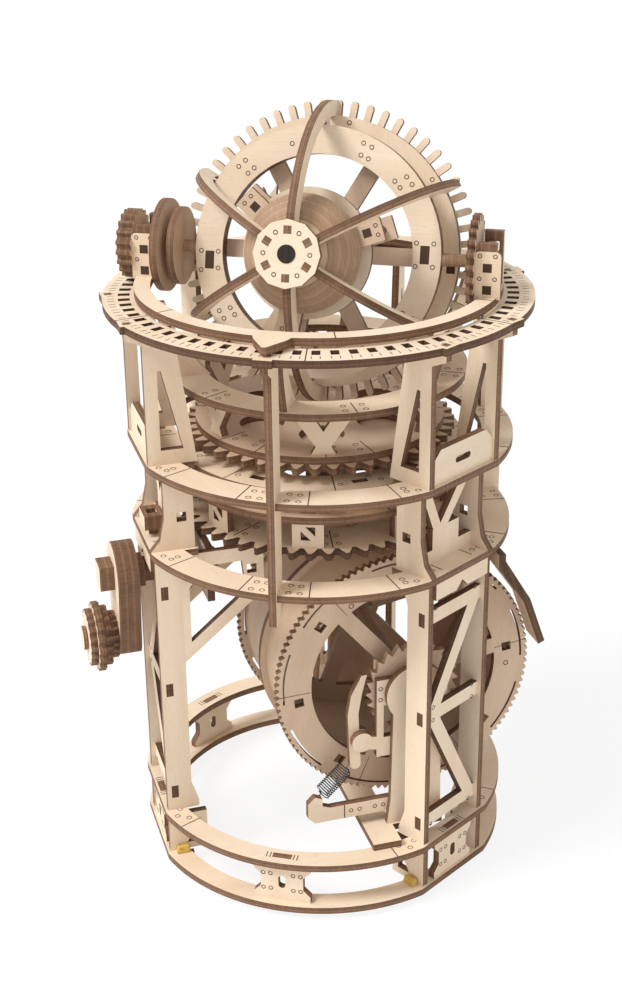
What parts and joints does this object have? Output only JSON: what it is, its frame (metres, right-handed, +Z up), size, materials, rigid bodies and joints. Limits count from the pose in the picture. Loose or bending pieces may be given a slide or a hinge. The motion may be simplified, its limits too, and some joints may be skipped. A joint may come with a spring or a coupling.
{
  "type": "mechanical table clock",
  "caption": "Open tower of laser-cut plywood with a slotted dial ring, a tilting wheel cage on a turning carriage, a carousel, a crank-wound drum and a coil-sprung pawl.",
  "frame": {"origin": "on the table plane under the tower's vertical axis, at the base's centre", "axes": "+Z up along the tower's axis, -Y towards the front middle post and the pointer, +X to the right of a viewer at the front"},
  "size_m": [0.1904, 0.1715, 0.3163],
  "materials": {
    "birch": "raw sanded birch plywood",
    "burnt_birch": "raw birch plywood with laser-burnt edges",
    "spring_steel": "plain steel wire"
  },
  "bodies": {
    "tower": {"base_lower_ring": "birch", "base_upper_ring": "birch", "base_connectors": "birch", "lower_columns": "birch", "deck_aprons": "birch", "right_truss": "birch", "rear_truss": "birch", "left_truss": "birch", "lower_deck": "birch", "upper_columns": "birch", "upper_trusses": "birch", "upper_deck": "birch", "dial_posts": "birch", "post_panels": "birch", "middle_posts": "birch", "dial_ring": "birch", "lower_spider": "burnt_birch", "upper_spider": "burnt_birch", "centre_shaft": "burnt_birch", "thrust_washers": "burnt_birch", "floor_frame": "birch", "drum_front_support": "burnt_birch", "drum_rear_support": "burnt_birch", "pawl_bracket": "birch", "hook_arm": "birch", "coil_spring": "spring_steel", "winder_brackets": "burnt_birch", "winder_bearing": "burnt_birch", "guard_board": "burnt_birch"},
    "carousel": {"carousel_gear": "birch", "carousel_spacers": "birch", "carousel_ring": "birch", "carousel_plate": "birch"},
    "arbor": {"arbor": "burnt_birch"},
    "carriage": {"carriage_gear": "burnt_birch", "carriage_disc": "birch", "carriage_forks": "birch", "carriage_lower_ring": "birch", "carriage_brackets": "birch", "carriage_upper_ring": "birch", "left_upright": "birch", "right_upright": "birch"},
    "cage": {"peg_wheel": "birch", "rim_ring": "burnt_birch", "gimbal_ring": "birch", "cage_ribs": "burnt_birch", "hub_plate": "birch", "rear_bridge": "burnt_birch", "tilt_pins": "burnt_birch", "tilt_wheels": "burnt_birch", "serrated_wheel": "burnt_birch"},
    "inner_cage": {"inner_axle": "burnt_birch", "balance_frame": "birch"},
    "balance": {"balance_wheel": "burnt_birch"},
    "escape": {"escape_wheel": "birch"},
    "drum": {"drum": "birch", "drum_shaft": "burnt_birch"},
    "crank": {"crank": "burnt_birch"},
    "knob": {"knob": "burnt_birch"},
    "pawl": {"pawl": "birch"}
  },
  "joints": [
    {"name": "carriage_turn", "type": "hinge", "parent": "tower", "child": "carriage", "pos_m": [0, 0, 0.19], "axis": [0, 0, 1], "continuous": true},
    {"name": "arbor_turn", "type": "hinge", "parent": "tower", "child": "arbor", "pos_m": [-0.04294, 0.05496, 0.17], "axis": [0, 0, 1], "continuous": true},
    {"name": "carousel_turn", "type": "hinge", "parent": "tower", "child": "carousel", "pos_m": [0, 0, 0.156], "axis": [0, 0, 1], "continuous": true},
    {"name": "cage_tilt", "type": "hinge", "parent": "carriage", "child": "cage", "pos_m": [0, 0, 0.2605], "axis": [1, 0, 0], "continuous": true},
    {"name": "inner_cage_spin", "type": "hinge", "parent": "cage", "child": "inner_cage", "pos_m": [0, 0, 0.2605], "axis": [0, -0.9659, 0.2588], "continuous": true},
    {"name": "balance_swing", "type": "hinge", "parent": "inner_cage", "child": "balance", "pos_m": [0, 0, 0.2605], "axis": [0, -0.9659, 0.2588], "range_deg": [-150, 150]},
    {"name": "escape_spin", "type": "hinge", "parent": "inner_cage", "child": "escape", "pos_m": [-0.01685, -0.0031, 0.27597], "axis": [0, -0.9659, 0.2588], "continuous": true},
    {"name": "drum_turn", "type": "hinge", "parent": "tower", "child": "drum", "pos_m": [0.04131, -0.02695, 0.091], "axis": [0.5, -0.866, 0], "continuous": true},
    {"name": "pawl_swing", "type": "hinge", "parent": "tower", "child": "pawl", "pos_m": [0.026, -0.04503, 0.07], "axis": [0.5, -0.866, 0], "range_deg": [0, 15], "stiffness_Nm_per_rad": 0.05, "springref_deg": -8.59, "deforming": ["coil_spring"]},
    {"name": "crank_turn", "type": "hinge", "parent": "tower", "child": "crank", "pos_m": [-0.06928, -0.04, 0.134], "axis": [-0.866, -0.5, 0], "continuous": true},
    {"name": "knob_spin", "type": "hinge", "parent": "crank", "child": "knob", "pos_m": [-0.08054, -0.0465, 0.106], "axis": [-0.866, -0.5, 0], "continuous": true}
  ],
  "couplings": [
    {"joint": "arbor_turn", "follows": "carriage_turn", "ratio": -3.1333},
    {"joint": "carousel_turn", "follows": "carriage_turn", "ratio": 0.752}
  ]
}
